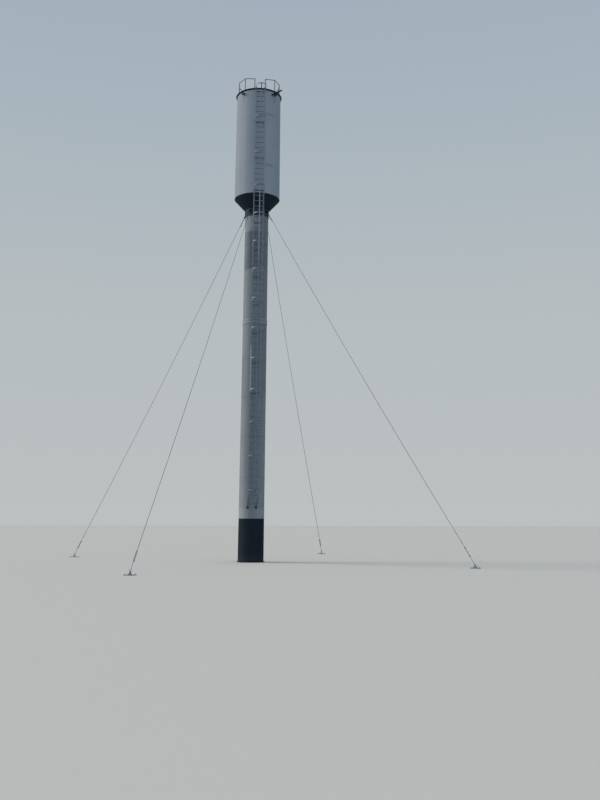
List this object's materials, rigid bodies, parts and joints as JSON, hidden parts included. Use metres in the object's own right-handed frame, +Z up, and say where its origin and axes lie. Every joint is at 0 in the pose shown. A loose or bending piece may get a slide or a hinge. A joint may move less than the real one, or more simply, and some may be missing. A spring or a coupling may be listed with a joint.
{
  "type": "guyed steel water tower with a caged ladder",
  "caption": "Slender steel tube column carrying a small cylindrical water tank on a cone, with a caged ladder, guard rail and guy ropes.",
  "frame": {"origin": "centre of the base plate's underside, on the tower's axis", "axes": "+Z up along the column, the ladder and cage on the -Y side"},
  "size_m": [15.4162, 16.7519, 20.89],
  "materials": {
    "pale_shell": "pale grey paint, weathered, with faint streaks and weld seams",
    "dark_coat": "blue-black paint, satin",
    "ladder_paint": "pale grey paint on rolled bars",
    "rail_paint": "grey paint",
    "wire_rope": "weathered galvanised wire rope",
    "zinc_steel": "galvanised, dull"
  },
  "bodies": {
    "root": {"column_course_2": "pale_shell", "column_course_3": "pale_shell", "column_course_4": "pale_shell", "column_course_5": "pale_shell", "column_course_6": "pale_shell", "column_course_7": "pale_shell", "column_course_8": "pale_shell", "column_joint_band": "pale_shell", "tank_course_1": "pale_shell", "tank_course_2": "pale_shell", "tank_course_3": "pale_shell", "tank_course_4": "pale_shell", "base_plate": "dark_coat", "column_base_course": "dark_coat", "column_collar": "dark_coat", "tank_cone": "dark_coat", "tank_rim": "dark_coat", "tank_roof": "dark_coat", "roof_hatch": "dark_coat", "ladder_foot": "dark_coat", "lifting_trunnion_left": "dark_coat", "lifting_trunnion_right": "dark_coat", "overflow_pipe": "dark_coat", "guy_lug_1": "dark_coat", "guy_lug_2": "dark_coat", "guy_lug_3": "dark_coat", "guy_lug_4": "dark_coat", "ladder_section_1": "ladder_paint", "ladder_section_2": "ladder_paint", "ladder_section_3": "ladder_paint", "ladder_section_4": "ladder_paint", "safety_cage_lower": "ladder_paint", "safety_cage_upper": "ladder_paint", "guard_rail_left": "rail_paint", "guard_rail_right": "rail_paint", "guy_rope_1": "wire_rope", "guy_rope_2": "wire_rope", "guy_rope_3": "wire_rope", "guy_rope_4": "wire_rope", "guy_turnbuckle_1": "zinc_steel", "guy_turnbuckle_2": "zinc_steel", "guy_turnbuckle_3": "zinc_steel", "guy_turnbuckle_4": "zinc_steel", "guy_anchor_1": "zinc_steel", "guy_anchor_2": "zinc_steel", "guy_anchor_3": "zinc_steel", "guy_anchor_4": "zinc_steel"}
  },
  "joints": []
}
